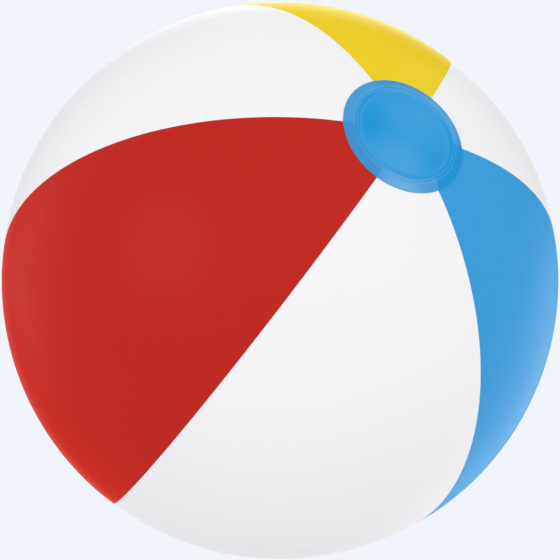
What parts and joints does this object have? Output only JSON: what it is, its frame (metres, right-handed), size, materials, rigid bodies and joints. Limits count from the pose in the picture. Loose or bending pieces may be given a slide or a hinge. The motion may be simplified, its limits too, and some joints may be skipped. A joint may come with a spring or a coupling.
{
  "type": "inflatable beach ball",
  "caption": "Inflated vinyl beach ball of coloured and white panels with a disc over each pole and a push-in inflation valve.",
  "frame": {"origin": "centre of the inflated ball", "axes": "+Z is the polar axis, through the two end discs; +Y is the axis of the inflation valve, pointing out of the ball; the valve panel is centred on +Y, and the seams run from one end disc to the other"},
  "size_m": [0.3399, 0.34, 0.341],
  "materials": {
    "vinyl_red": "satin",
    "vinyl_blue": "satin",
    "vinyl_yellow": "satin",
    "vinyl_white": "satin",
    "valve_vinyl": "satin"
  },
  "bodies": {
    "ball": {"panel_red": "vinyl_red", "panel_white_front": "vinyl_white", "panel_blue": "vinyl_blue", "panel_white_valve": "vinyl_white", "panel_yellow": "vinyl_yellow", "panel_white_left": "vinyl_white", "end_disc_top": "vinyl_blue", "end_disc_bottom": "vinyl_blue", "valve_flange": "valve_vinyl", "valve_boot": "valve_vinyl"},
    "stem": {"valve_stem": "valve_vinyl", "valve_strap": "valve_vinyl"},
    "plug": {"valve_plug": "valve_vinyl"},
    "flap": {"valve_flap": "valve_vinyl"}
  },
  "joints": [
    {"name": "stem_slide", "type": "slide", "parent": "ball", "child": "stem", "axis": [0, 1, 0], "range_m": [0, 0.016], "deforming": ["valve_boot"]},
    {"name": "plug_hinge", "type": "hinge", "parent": "stem", "child": "plug", "pos_m": [0, 0.1696, -0.0085], "axis": [-1, 0, 0], "range_deg": [0, 160], "deforming": ["valve_strap"]},
    {"name": "flap_hinge", "type": "hinge", "parent": "stem", "child": "flap", "pos_m": [0, 0.14975, 0.006], "axis": [-1, 0, 0], "range_deg": [0, 70]}
  ]
}
